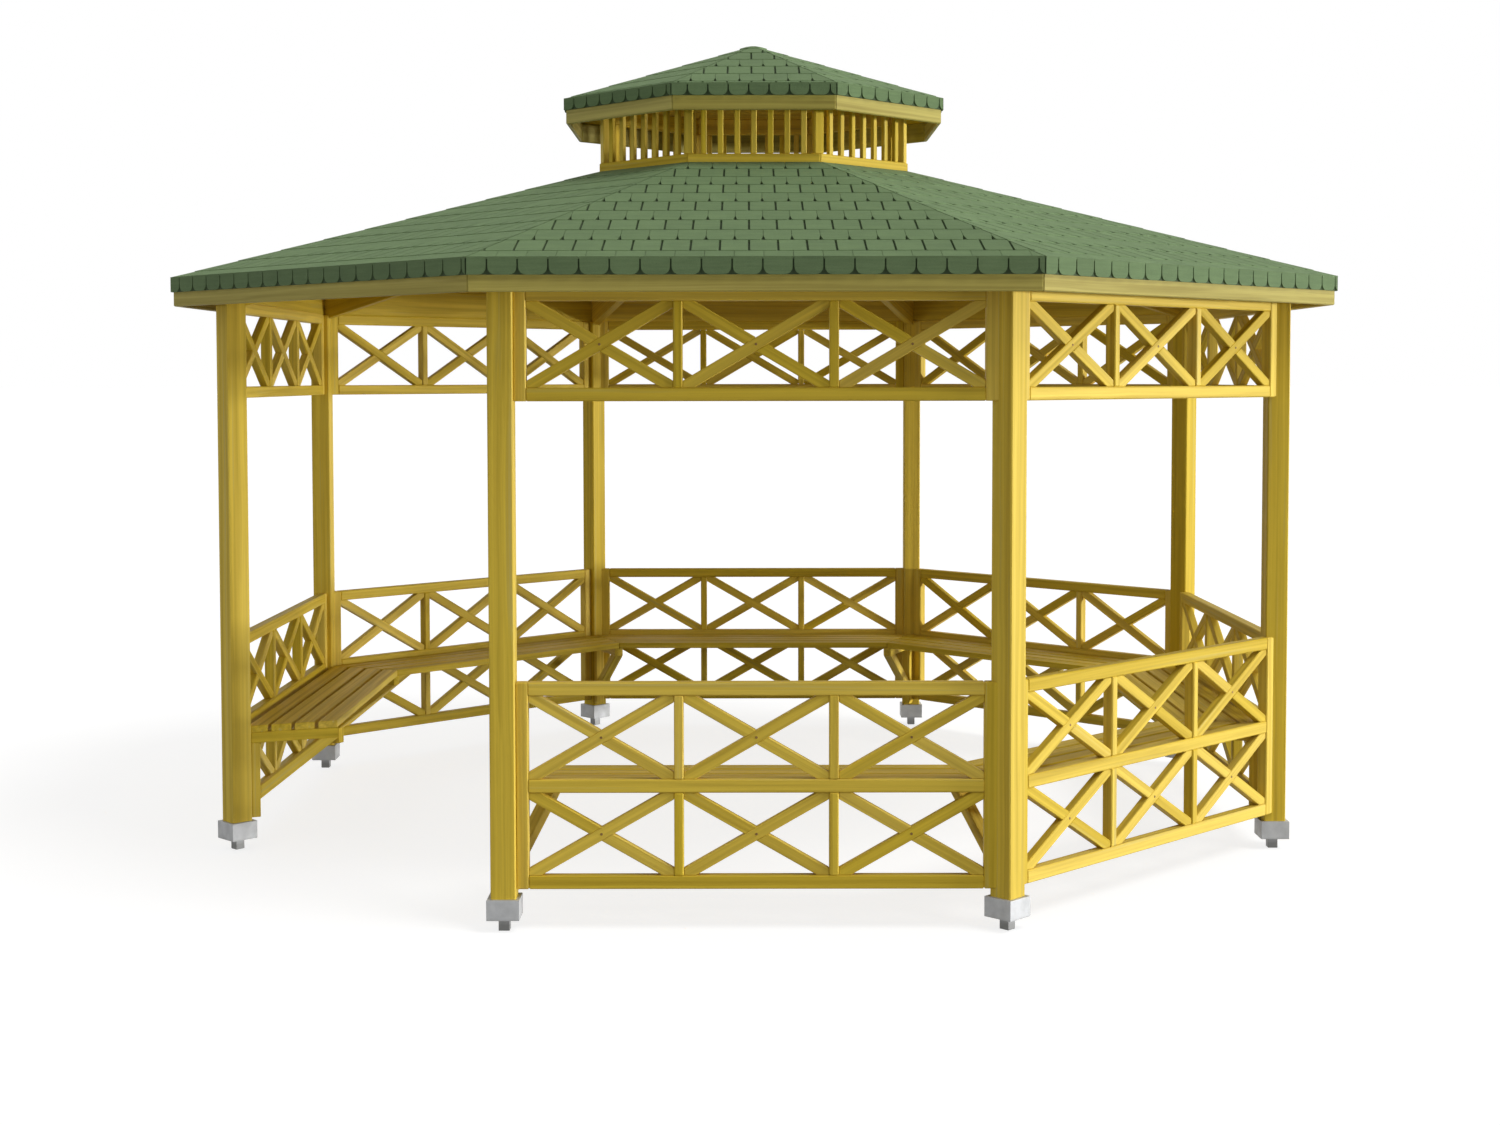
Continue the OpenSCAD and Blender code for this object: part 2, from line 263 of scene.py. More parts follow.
def ease(bm, width, segments=1):
    """Bevels the outer arrises, but not flat joints or needle-sharp tips."""
    edges = [
        e for e in bm.edges
        if len(e.link_faces) == 2 and e.is_convex and SHARP < e.calc_face_angle() < SKEW
    ]
    bmesh.ops.bevel(
        bm, geom=edges, offset=width, affect="EDGES", segments=segments, profile=0.5,
        material=-1, clamp_overlap=True,
    )


def cut(bm, point, normal):
    """Saws off what lies beyond the plane and closes the cut."""
    geom = bm.verts[:] + bm.edges[:] + bm.faces[:]
    bmesh.ops.bisect_plane(
        bm, geom=geom, dist=MERGE, plane_co=point, plane_no=normal, clear_outer=True
    )
    rim = [e for e in bm.edges if e.is_boundary]
    if rim:
        bmesh.ops.holes_fill(bm, edges=rim, sides=0)


def run_grain(bm, verts, axes, origin, rng):
    """Writes the grain coordinates of one timber: along its length, then across."""
    grain = bm.verts.layers.float_vector["grain"]
    tone = bm.verts.layers.float["tone"]
    shift = Vector([rng.uniform(0, reach) for reach in GRAIN_SHIFT])
    value = rng.uniform(-TIMBER_SPREAD, TIMBER_SPREAD)
    for vert in verts:
        place = vert.co - origin
        vert[grain] = Vector([place.dot(axis) for axis in axes]) + shift
        vert[tone] = value


def block(size, centre=(0, 0, 0)):
    """A bmesh that holds one box, its length along x."""
    bm = open_piece()
    shape = Matrix.Translation(centre) @ Matrix.Diagonal((*size, 1))
    bmesh.ops.create_cube(bm, size=1, matrix=shape)
    return bm


def join(target, bm, place):
    """Moves the small bmesh to its place and adds it to the target."""
    bm.transform(place)
    mesh = bpy.data.meshes.new("part")
    bm.to_mesh(mesh)
    bm.free()
    target.from_mesh(mesh)
    bpy.data.meshes.remove(mesh)


def timber(target, size, place, arris, rng, saws=()):
    """Adds one squared timber, sawn by planes in its own frame, its grain along local x."""
    bm = block(size)
    for point, normal in saws:
        cut(bm, point, normal)
    ease(bm, arris)
    run_grain(bm, bm.verts, AXES, Vector(), rng)
    join(target, bm, place)


def on_side(k, radius=0.0, height=0.0):
    """Frame of side k: x along the side, y towards the axis, z up."""
    return Matrix.Rotation(TURN * k, 4, "Z") @ Matrix.Translation((0, -radius, height))


def dressed(name, nodes, finish, arris, rng, segments=1):
    """A merged copy of CAD nodes with eased edges, each solid with its own run of grain."""
    bm = open_piece()
    for node in nodes:
        bm.from_mesh(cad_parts[node].data)
    bmesh.ops.remove_doubles(bm, verts=bm.verts, dist=MERGE)
    bmesh.ops.dissolve_limit(bm, angle_limit=FLAT, verts=bm.verts, edges=bm.edges)
    ease(bm, arris, segments)
    for verts in islands(bm):
        edges = [e for v in verts for e in v.link_edges]
        longest = max(edges, key=lambda e: round(e.calc_length(), 4))
        along = (longest.verts[1].co - longest.verts[0].co).normalized()
        side = along.cross(Vector((0, 0, 1)))
        if side.length < UPRIGHT:
            centre = sum((v.co for v in verts), Vector()) / len(verts)
            post = round((math.atan2(centre.x, -centre.y) + HALF) / TURN)
            side = Matrix.Rotation(TURN * post, 3, "Z") @ Vector((1, 0, 0))
        side.normalize()
        run_grain(bm, verts, (along, side, along.cross(side)), verts[0].co.copy(), rng)
    close_piece(name, bm, finish, nodes)


# ---------------------------------------------------------------- finishes


def rgba(colour_value, share=1.0):
    """A colour with its alpha, darker or lighter by a share."""
    return tuple(c * share for c in colour_value) + (1,)


class Weave:
    """A small helper that adds and links shader nodes."""

    def __init__(self, name):
        self.material = bpy.data.materials.new(name)
        self.material.use_nodes = True
        self.tree = self.material.node_tree
        self.shader = self.tree.nodes["Principled BSDF"]

    def add(self, kind, **values):
        """A node, with its own settings or its inputs set by name."""
        node = self.tree.nodes.new(kind)
        for key, value in values.items():
            if key in node.inputs:
                self.feed(node.inputs[key], value)
            else:
                setattr(node, key, value)
        return node

    def feed(self, socket, value):
        """A socket takes either a link or a plain value."""
        if isinstance(value, bpy.types.NodeSocket):
            self.tree.links.new(value, socket)
        else:
            socket.default_value = value

    def noise(self, vector, scale, detail=3.0, rough=0.55):
        """Noise in the space of the given vector."""
        node = self.add("ShaderNodeTexNoise", Vector=vector, Scale=scale, Detail=detail)
        node.inputs["Roughness"].default_value = rough
        return node.outputs["Fac"]

    def stretch(self, vector, scale):
        """The vector, scaled axis by axis."""
        return self.add("ShaderNodeMapping", Vector=vector, Scale=scale).outputs["Vector"]

    def streaks(self, run, along, across, detail=2.0, rough=0.55, scale=1.0):
        """Noise drawn out along the grain, by its rate along a timber and across it."""
        return self.noise(self.stretch(run, (along, across, across)), scale, detail, rough)

    def spread(self, value, low, high, out_low=0.0, out_high=1.0):
        """Maps a range to another range."""
        node = self.add("ShaderNodeMapRange", Value=value)
        for key, number in (
            ("From Min", low), ("From Max", high), ("To Min", out_low), ("To Max", out_high)
        ):
            node.inputs[key].default_value = number
        return node.outputs["Result"]

    def blend(self, fac, first, second):
        """Mixes two colours."""
        node = self.add("ShaderNodeMix", data_type="RGBA")
        self.feed(node.inputs[0], fac)
        self.feed(node.inputs[6], first)
        self.feed(node.inputs[7], second)
        return node.outputs[2]

    def maths(self, mode, first, second):
        """One step of arithmetic."""
        node = self.add("ShaderNodeMath", operation=mode)
        self.feed(node.inputs[0], first)
        self.feed(node.inputs[1], second)
        return node.outputs[0]

    def bump(self, height, strength, distance):
        """A bump from a height."""
        node = self.add("ShaderNodeBump", Height=height, Strength=strength, Distance=distance)
        return node.outputs["Normal"]

    def attribute(self, name, output):
        """A value that is stored on the mesh."""
        return self.add("ShaderNodeAttribute", attribute_name=name).outputs[output]


def stained_wood(name, settings, stain, streak, depth=1.0):
    """Amber stain on straight-grained softwood: long streaks, fine fibres and a satin sheen."""
    w = Weave(name)
    run = w.attribute("grain", "Vector")
    tone = w.attribute("tone", "Fac")
    bend = w.streaks(run, 0.9, 9)
    sway = w.add("ShaderNodeVectorMath", operation="MULTIPLY_ADD")
    w.feed(sway.inputs[0], bend)
    w.feed(sway.inputs[1], (0.0, 0.035, 0.035))
    w.feed(sway.inputs[2], run)
    grain = sway.outputs[0]
    rings = w.spread(w.streaks(grain, 0.55, 58, 4.0, 0.6), 0.36, 0.66)
    broad = w.spread(w.streaks(grain, 0.30, 44), 0.40, 0.62, 0.10, 0.42)
    fibre = w.spread(w.streaks(grain, 7, 620, 3.0, 0.7), 0.3, 0.7)
    pale = w.spread(w.streaks(grain, 0.45, 34, scale=1.3), 0.60, 0.74, 0.0, 0.55)
    figure = w.maths("ADD", w.maths("MULTIPLY", rings, 0.45), broad)
    # depth scales the colours: the bench copy is lightened as painted light and the ceiling copy
    # darkened as painted shade.
    base = w.blend(figure, rgba(stain, depth), rgba(streak, depth))
    base = w.blend(pale, base, rgba(settings.grey, depth))
    fibred = w.blend(w.spread(fibre, 0, 1, 0.0, 0.16), base, rgba(streak, depth))
    varied = w.add("ShaderNodeHueSaturation", Color=fibred)
    tones = (-TIMBER_SPREAD, TIMBER_SPREAD)
    w.feed(varied.inputs["Value"], w.spread(tone, *tones, 0.90, 1.10))
    w.feed(varied.inputs["Saturation"], w.spread(tone, *tones, 1.04, 0.96))
    w.feed(w.shader.inputs["Base Color"], varied.outputs["Color"])
    w.feed(w.shader.inputs["Roughness"], w.spread(figure, 0, 1, 0.48, 0.64))
    w.shader.inputs["Specular IOR Level"].default_value = 0.15
    height = w.maths("ADD", w.maths("MULTIPLY", rings, 0.6), w.maths("MULTIPLY", fibre, 0.4))
    w.feed(w.shader.inputs["Normal"], w.bump(height, 0.35, 0.0012))
    return w.material


def green_shingle(name, settings):
    """Mineral granules on felt: grit, soft blotches, faint level streaks and a tone per tab."""
    w = Weave(name)
    place = w.add("ShaderNodeTexCoord").outputs["Object"]
    tone = w.attribute("tone", "Fac")
    grit = w.add("ShaderNodeTexVoronoi", Vector=place, Scale=520.0).outputs["Color"]
    grit = w.add("ShaderNodeSeparateColor", Color=grit).outputs[0]
    blotch = w.spread(w.noise(place, 9.0, 4.0), 0.35, 0.68)
    fine = w.noise(place, 260.0, 3.0, 0.7)
    streak = w.spread(w.noise(w.stretch(place, (7, 7, 120)), 1.0, 3.0), 0.36, 0.64)
    blend = w.maths("ADD", w.maths("MULTIPLY", grit, 0.33), w.maths("MULTIPLY", blotch, 0.24))
    blend = w.maths("ADD", blend, w.maths("MULTIPLY", streak, 0.30))
    base = w.blend(blend, rgba(settings.granule), rgba(settings.shade))
    varied = w.add("ShaderNodeHueSaturation", Color=base)
    # The dark end of this range carries the painted shade of the felt and the eave band.
    darkest, lightest = -3.0, 0.5
    w.feed(varied.inputs["Value"], w.spread(tone, darkest, lightest, 0.21, 1.12))
    w.feed(w.shader.inputs["Base Color"], varied.outputs["Color"])
    w.shader.inputs["Roughness"].default_value = 0.88
    w.shader.inputs["Specular IOR Level"].default_value = 0.3
    w.feed(w.shader.inputs["Normal"], w.bump(w.maths("ADD", grit, fine), 0.5, 0.0010))
    return w.material


def coated_steel(name, settings):
    """Light grey coat on steel, a little uneven and darker towards the foot."""
    w = Weave(name)
    place = w.add("ShaderNodeTexCoord").outputs["Object"]
    cloud = w.spread(w.noise(place, 22.0, 4.0), 0.35, 0.7)
    speck = w.noise(place, 420.0, 2.0)
    low = w.add("ShaderNodeSeparateXYZ", Vector=place).outputs["Z"]
    stub_low, stub_high = 0.02, 0.055
    foot = w.spread(low, stub_low, stub_high, 0.90, 0.0)
    # Darker grey towards the foot of the shoe.
    foot_dark = (0.20, 0.20, 0.19)
    base = w.blend(cloud, rgba(settings.coat), rgba(settings.coat, 0.80))
    base = w.blend(foot, base, rgba(foot_dark))
    w.feed(w.shader.inputs["Base Color"], base)
    w.shader.inputs["Metallic"].default_value = 0.15
    w.feed(w.shader.inputs["Roughness"], w.spread(cloud, 0, 1, 0.38, 0.52))
    w.feed(w.shader.inputs["Normal"], w.bump(speck, 0.15, 0.0004))
    return w.material


def bronzed_steel(name, settings):
    """Yellow-brown passivated screw steel, duller in places."""
    w = Weave(name)
    place = w.add("ShaderNodeTexCoord").outputs["Object"]
    cloud = w.spread(w.noise(place, 300.0, 3.0), 0.35, 0.68)
    base = w.blend(cloud, rgba(settings.bronze), rgba(settings.bronze, 0.6))
    w.feed(w.shader.inputs["Base Color"], base)
    w.shader.inputs["Metallic"].default_value = 0.55
    w.feed(w.shader.inputs["Roughness"], w.spread(cloud, 0, 1, 0.40, 0.60))
    return w.material


def finish(name, maker, *args):
    """The material of that name, made once."""
    found = bpy.data.materials.get(name)
    return found or maker(name, *args)


def wood():
    """The stain of the outer woodwork."""
    own = bpy.context.scene.gazebo_timber
    return finish("amber_stained_wood", stained_wood, own, own.stain, own.streak)


def bleached_wood():
    """The fascia boards, which the weather has turned greyer."""
    own = bpy.context.scene.gazebo_timber
    return finish("bleached_fascia_wood", stained_wood, own, own.bleached, own.bleached_streak)


def ceiling_painted_shade_wood():
    """The same stain on the boards and rafters, a little darker as painted shade under the roof."""
    own = bpy.context.scene.gazebo_timber
    # A share below 1 darkens the colour: painted shade under the roofs.
    return finish("stained_ceiling_boards", stained_wood, own, own.stain, own.streak, 0.97)


def bench_painted_light_wood():
    """The same stain on the seat, made lighter as painted light."""
    own = bpy.context.scene.gazebo_timber
    # A share above 1 lightens the colour: painted light on the seat and its brackets.
    return finish("stained_bench_wood", stained_wood, own, own.stain, own.streak, 1.12)


def shingle():
    """The green shingles."""
    return finish("green_granule_shingle", green_shingle, bpy.context.scene.gazebo_shingles)


# ---------------------------------------------------------------- lattice panels


def stile_notched(target, at, low, high, sizes, rng):
    """End stile that fits round the turned corner of the next post."""
    depth = sizes.panel / 2
    outline = (
        (-sizes.stile, -depth), (0, -depth), (-depth, 0), (0, depth), (-sizes.stile, depth)
    )
    bm = open_piece()
    corners = [bm.verts.new((at + x, y, low)) for x, y in outline]
    face = bm.faces.new(corners)
    grown = bmesh.ops.extrude_face_region(bm, geom=[face])["geom"]
    top = [v for v in grown if isinstance(v, bmesh.types.BMVert)]
    bmesh.ops.translate(bm, verts=top, vec=(0, 0, high - low))
    bmesh.ops.recalc_face_normals(bm, faces=bm.faces)
    ease(bm, sizes.arris)
    run_grain(bm, bm.verts, (AXES[2], AXES[0], AXES[1]), Vector(), rng)
    join(target, bm, Matrix())


def upright(target, left, right, low, high, sizes, rng):
    """A stile or bar with its grain upright."""
    place = Matrix.Translation(((left + right) / 2, 0, (low + high) / 2))
    place = place @ Matrix.Rotation(-math.pi / 2, 4, "Y")
    timber(target, (high - low, sizes.panel, right - left), place, sizes.arris, rng)


def level(target, left, right, low, high, sizes, rng):
    """A rail with its grain level."""
    place = Matrix.Translation(((left + right) / 2, 0, (low + high) / 2))
    timber(target, (right - left, sizes.panel, high - low), place, sizes.arris, rng)


def crossed(target, left, right, low, high, sizes, rng):
    """A crossed pair of braces in one bay: one runs through and two halves meet it.

    Returns the middle of the crossing.
    """
    width, height = right - left, high - low
    centre = Vector(((left + right) / 2, 0, (low + high) / 2))
    reach = math.hypot(width, height) + sizes.brace
    lean = math.atan2(height, width)
    walls = (
        (Vector((right, 0, 0)), Vector((1, 0, 0))), (Vector((left, 0, 0)), Vector((-1, 0, 0))),
        (Vector((0, 0, high)), Vector((0, 0, 1))), (Vector((0, 0, low)), Vector((0, 0, -1))),
    )
    for angle, halves in ((lean, (0,)), (-lean, (1, -1))):
        turn = Matrix.Rotation(-angle, 4, "Y")
        place = Matrix.Translation(centre) @ turn
        back = place.inverted()
        saws = [(back @ point, turn.inverted() @ normal) for point, normal in walls]
        for half in halves:
            extra = []
            if half:
                across = Matrix.Rotation(-lean, 4, "Y") @ Vector((0, 0, 1))
                away = turn.inverted() @ across
                away = away if away.x * half < 0 else -away
                edge = -away * sizes.brace / 2
                extra = [(edge, away)]
            timber(
                target, (reach, sizes.brace_depth, sizes.brace), place, sizes.thin_arris, rng,
                saws + extra,
            )
    return centre


def screw_head(target, place, sizes):
    """A low screw head, facing along local z."""
    bm = open_piece()
    bmesh.ops.create_cone(
        bm, cap_ends=True, cap_tris=False, segments=12, radius1=sizes.screw,
        radius2=sizes.screw * SCREW_TAPER, depth=sizes.screw_rise,
    )
    join(target, bm, place)


def lattice(name, k, low, high, rails, heads, rng):
    """A panel on side k: stiles, rails at the given heights, bars and crossed braces.

    The screw heads of its crossings are added to the bmesh of all heads.
    """
    sizes = bpy.context.scene.gazebo_timber
    target = open_piece()
    start = -SIDE / 2 + POST_W / 2
    tip = SIDE / 2 - POST_W / 2 * math.sqrt(2)
    end = tip + sizes.panel / 2
    upright(target, start, start + sizes.stile, low, high, sizes, rng)
    stile_notched(target, end, low, high, sizes, rng)
    inner, outer = start + sizes.stile, end - sizes.stile
    for base in rails:
        level(target, inner, outer, base, base + sizes.rail, sizes, rng)
    bay = (outer - inner - (BAYS - 1) * sizes.bar) / BAYS
    for below, above in zip(rails, rails[1:]):
        foot, head = below + sizes.rail, above
        for i in range(BAYS):
            left = inner + i * (bay + sizes.bar)
            centre = crossed(target, left, left + bay, foot, head, sizes, rng)
            spot = Matrix.Translation((centre.x, -sizes.brace_depth / 2, centre.z))
            facing = Matrix.Rotation(math.pi / 2, 4, "X")
            screw_head(heads, on_side(k, APOTHEM) @ spot @ facing, sizes)
            if i < BAYS - 1:
                upright(target, left + bay, left + bay + sizes.bar, foot, head, sizes, rng)
    target.transform(on_side(k, APOTHEM))
    close_piece(name + "_timbers", target, wood(), [name])


# ---------------------------------------------------------------- roofs


class RoofShape:
    """The outer surface of one roof, measured from its shingle node and its inner edge."""

    def __init__(self, node, inner, band):
        low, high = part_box(node)
        self.radius = high.x
        self.band = band
        self.eave = low.z + band
        self.slope = math.atan2(high.z - self.eave, self.radius - inner)
        self.run = (self.radius - inner) / math.cos(self.slope)
        self.width = 2 * self.radius * math.tan(HALF)

    def face(self):
        """Frame of the front face: x along the eave, y up the slope, z out of it."""
        return on_side(0, self.radius, self.eave) @ Matrix.Rotation(self.slope, 4, "X")


def tab(width, height, corner, thick, thin, waist=0.0, notch=0.0):
    """One shingle tab: a plate with two rounded lower corners, thicker at its foot.

    With a waist, its sides lean in below that height, so that its foot is narrower by a notch.
    """
    bm = open_piece()
    shape = Matrix.Translation((0, height / 2, 0)) @ Matrix.Diagonal((width, height, 1, 1))
    rows = 2 if waist else 1
    bmesh.ops.create_grid(bm, x_segments=1, y_segments=rows, size=0.5, matrix=shape)
    for vert in bm.verts:
        if MERGE < vert.co.y < height - MERGE:
            vert.co.y = waist
    foot = [v for v in bm.verts if v.co.y < MERGE]
    for vert in foot:
        vert.co.x *= 1 - notch / width
    if corner > 0:
        bmesh.ops.bevel(
            bm, geom=foot, offset=corner, affect="VERTICES", segments=4, profile=0.5,
            material=-1, clamp_overlap=True,
        )
    grown = bmesh.ops.extrude_face_region(bm, geom=bm.faces[:])["geom"]
    for vert in [v for v in grown if isinstance(v, bmesh.types.BMVert)]:
        vert.co.z += thick + (thin - thick) * vert.co.y / height
    bmesh.ops.recalc_face_normals(bm, faces=bm.faces)
    mesh = bpy.data.meshes.new("tab")
    bm.to_mesh(mesh)
    bm.free()
    return mesh


def lay_tabs(bm, mesh, spots):
    """Copies one tab to each spot of a face."""
    for x, y in spots:
        start = len(bm.verts)
        bm.from_mesh(mesh)
        bm.verts.ensure_lookup_table()
        bmesh.ops.translate(bm, verts=bm.verts[start:], vec=(x, y, 0))


def columns(width, pitch, first):
    """Middles of the tabs between slits that lie at first plus whole pitches."""
    count = int(width / pitch) + 3
    return [first + (i - count // 2 + 0.5) * pitch for i in range(count)]


def course_of_tabs(shape, low, shift, open_slits, sizes):
    """One course on the front face: plain tabs with open slits, or closed tabs with notches."""
    body = (-FELT_SHADE_TOP, -FELT_SHADE_TOP - sizes.thick)
    if open_slits:
        mesh = tab(sizes.pitch - sizes.slit, sizes.course, sizes.corner, *body)
    else:
        mesh = tab(
            sizes.pitch - sizes.closed_slit, sizes.course, sizes.corner, *body,
            sizes.waist, sizes.notch,
        )
    span = 2 * (shape.radius - max(low, 0) * math.cos(shape.slope)) * math.tan(HALF)
    part = open_piece()
    lay_tabs(part, mesh, [(x, low) for x in columns(span, sizes.pitch, shift)])
    bpy.data.meshes.remove(mesh)
    bmesh.ops.translate(part, verts=part.verts, vec=(0, 0, FELT_SHADE_TOP))
    cut(part, Vector((0, 0, 0)), Vector((0, -1, 0)))
    cut(part, Vector((0, shape.run, 0)), Vector((0, 1, 0)))
    return part


def shingled(shape, lay, band_pitch, sizes, rng):
    """All faces of one roof: courses of tabs, the tabbed band of the eave and the felt behind, band
    and felt darkened as painted shade.
    """
    first_course, first_slit, band_slit = lay
    one = open_piece()
    below = math.ceil(first_course / sizes.course)
    bottom = first_course - below * sizes.course
    for row in range(int((shape.run - bottom) / sizes.course) + 1):
        open_slits = (row - below) % 2 == 0
        shift = first_slit if open_slits else first_slit + sizes.pitch / 2
        part = course_of_tabs(shape, bottom + row * sizes.course, shift, open_slits, sizes)
        join(one, part, shape.face())
    eave_band(one, shape, band_pitch, band_slit, sizes)
    for normal in HIP_NORMALS:
        cut(one, -normal * sizes.hip_gap / 2, normal)
    backing(one, shape)
    whole = all_round(one)
    tone = whole.verts.layers.float["tone"]
    for group in islands(whole):
        value = rng.uniform(-TAB_SPREAD, TAB_SPREAD)
        # Painted shade: the tabs of the eave band are darkened as a whole.
        if max(vert.co.z for vert in group) < shape.eave + MERGE:
            value += BAND_SHADE_TONE
        # Painted shade: the big felt solids take a very dark tone to darken the slits.
        if max((vert.co - group[0].co).length for vert in group) > 3 * sizes.pitch:
            value = FELT_SHADE_TONE
        for vert in group:
            vert[tone] = value
    return whole


def backing(bm, shape):
    """Dark felt behind the slits, closed at the hips: a sheet on the slope and a strip below it. Its
    dark tone is painted shade in the slits.
    """
    reach = shape.width + 2 * SPARE
    sheet = block(
        (reach, shape.run, FELT_SHADE_TOP - FELT_SHADE_FOOT), (0, shape.run / 2, (FELT_SHADE_TOP + FELT_SHADE_FOOT) / 2)
    )
    sheet.transform(shape.face())
    strip = block(
        (reach, STRIP, shape.band - 2 * STRIP_MARGIN),
        (0, 2 * BAND_THICK - STRIP / 2, -STRIP_MARGIN - shape.band / 2),
    )
    strip.transform(on_side(0, shape.radius, shape.eave))
    for part in (sheet, strip):
        for normal in HIP_NORMALS:
            cut(part, -normal * MERGE, normal)
        join(bm, part, Matrix())


def all_round(one):
    """Eight copies of one face's bmesh around the axis. The single one is freed."""
    mesh = bpy.data.meshes.new("face")
    one.to_mesh(mesh)
    one.free()
    whole = open_piece()
    for k in range(SIDES):
        start = len(whole.verts)
        whole.from_mesh(mesh)
        whole.verts.ensure_lookup_table()
        bmesh.ops.transform(whole, matrix=on_side(k), verts=whole.verts[start:])
    bpy.data.meshes.remove(mesh)
    return whole


def eave_band(bm, shape, pitch, slit, sizes):
    """Tabs that hang down over the fascia."""
    gap = sizes.slit * BAND_SLIT
    mesh = tab(pitch - gap, shape.band, sizes.band_corner, BAND_THICK, BAND_THICK)
    part = open_piece()
    lay_tabs(part, mesh, [(x, 0) for x in columns(shape.width, pitch, slit)])
    bpy.data.meshes.remove(mesh)
    hang = Matrix.Translation((0, BAND_THICK, -shape.band))
    part.transform(hang @ Matrix.Rotation(math.pi / 2, 4, "X"))
    join(bm, part, on_side(0, shape.radius, shape.eave))


def ceiling(node, inner, thick, sizes, rng):
    """Boards under one roof, parallel to the eave and mitred at the hips."""
    low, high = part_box(node)
    outer, top = high.x, low.z + thick
    one = open_piece()
    slope = math.atan2(high.z - top, outer - inner)
    run = (outer - inner) / math.cos(slope)
    count = max(1, round(run / sizes.board))
    cover = run / count
    lie = on_side(0, outer, top) @ Matrix.Rotation(slope, 4, "X")
    depth = thick * math.cos(slope)
    for i in range(count):
        reach = 2 * (outer - i * cover * math.cos(slope)) * math.tan(HALF) + SPARE
        bm = block((reach, cover - BOARD_GAP, depth), (0, (i + 0.5) * cover, -depth / 2))
        bm.transform(lie)
        for normal in HIP_NORMALS:
            cut(bm, -normal * BOARD_GAP / 2, normal)
        ease(bm, BOARD_ARRIS)
        join(one, bm, Matrix())
    whole = all_round(one)
    for group in islands(whole):
        middle = sum((v.co for v in group), Vector()) / len(group)
        k = round(math.atan2(middle.x, -middle.y) / TURN)
        turned = (on_side(k) @ Matrix.Rotation(slope, 4, "X")).to_3x3()
        run_grain(whole, group, [turned @ axis for axis in AXES], Vector(), rng)
    close_piece(node + "_timber", whole, ceiling_painted_shade_wood(), [node])


def fold_cap(shape):
    """Folded cap on the tip: eight flats that lie on the faces and round over at the top."""
    rise = math.tan(shape.slope)
    tip = shape.eave + shape.radius * rise
    bm = open_piece()
    corners = [
        bm.verts.new((0, -across / math.cos(HALF), tip - across * rise + above))
        for across, above in CAP_PROFILE
    ]
    for first, second in zip(corners, corners[1:]):
        bm.edges.new((first, second))
    bmesh.ops.rotate(bm, verts=bm.verts, cent=(0, 0, 0), matrix=Matrix.Rotation(HALF, 3, "Z"))
    bmesh.ops.spin(
        bm, geom=bm.verts[:] + bm.edges[:], cent=(0, 0, 0), axis=(0, 0, 1),
        angle=2 * math.pi, steps=SIDES, use_merge=True,
    )
    bmesh.ops.remove_doubles(bm, verts=bm.verts, dist=MERGE)
    rim = [e for e in bm.edges if e.is_boundary]
    bmesh.ops.holes_fill(bm, edges=rim, sides=0)
    close_piece("roof_cap_fold", bm, shingle(), ["roof_cap"])


# ---------------------------------------------------------------- operators


class GazeboPosts(bpy.types.Operator):
    """Squared posts with eased edges"""

    bl_idname = "gazebo.posts"
    bl_label = "Posts"

    def execute(self, context):
        sizes = context.scene.gazebo_timber
        rng = random.Random(11)
        for name in POST_NAMES:
            dressed(name + "_timber", [name], wood(), sizes.arris, rng)
        return {"FINISHED"}


class GazeboShoes(bpy.types.Operator):
    """Steel cups with a square stub under the posts"""

    bl_idname = "gazebo.shoes"
    bl_label = "Post shoes"

    def execute(self, context):
        steel = context.scene.gazebo_steel
        coat = finish("light_grey_coated_steel", coated_steel, steel)
        rng = random.Random(12)
        dressed("post_shoes_steel", ["post_shoes"], coat, steel.edge, rng, 2)
        return {"FINISHED"}


class GazeboPanels(bpy.types.Operator):
    """Railings and friezes with crossed braces"""

    bl_idname = "gazebo.panels"
    bl_label = "Railings and friezes"

    def execute(self, context):
        sizes = context.scene.gazebo_timber
        rng = random.Random(13)
        heads = open_piece()
        for k, side in enumerate(SIDE_NAMES):
            low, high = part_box("railing_" + side)
            rails = (low.z, sizes.mid_rail - sizes.rail, high.z - sizes.rail)
            lattice("railing_" + side, k, low.z, high.z, rails, heads, rng)
            low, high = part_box("frieze_" + side)
            rails = (low.z, high.z - sizes.rail)
            lattice("frieze_" + side, k, low.z, high.z, rails, heads, rng)
        bronze = finish("bronzed_screw_steel", bronzed_steel, context.scene.gazebo_steel)
        close_piece("panel_screw_heads", heads, bronze, [])
        return {"FINISHED"}


class GazeboBench(bpy.types.Operator):
    """Seat planks and their brackets"""

    bl_idname = "gazebo.bench"
    bl_label = "Bench"

    def execute(self, context):
        sizes = context.scene.gazebo_timber
        rng = random.Random(14)
        for side in SIDE_NAMES:
            name = "bench_" + side
            dressed(name + "_planks", [name], bench_painted_light_wood(), sizes.arris, rng, 2)
        for name in ("bench_bearers", "bench_legs", "bench_struts"):
            dressed(name + "_timber", [name], bench_painted_light_wood(), sizes.thin_arris, rng)
        return {"FINISHED"}


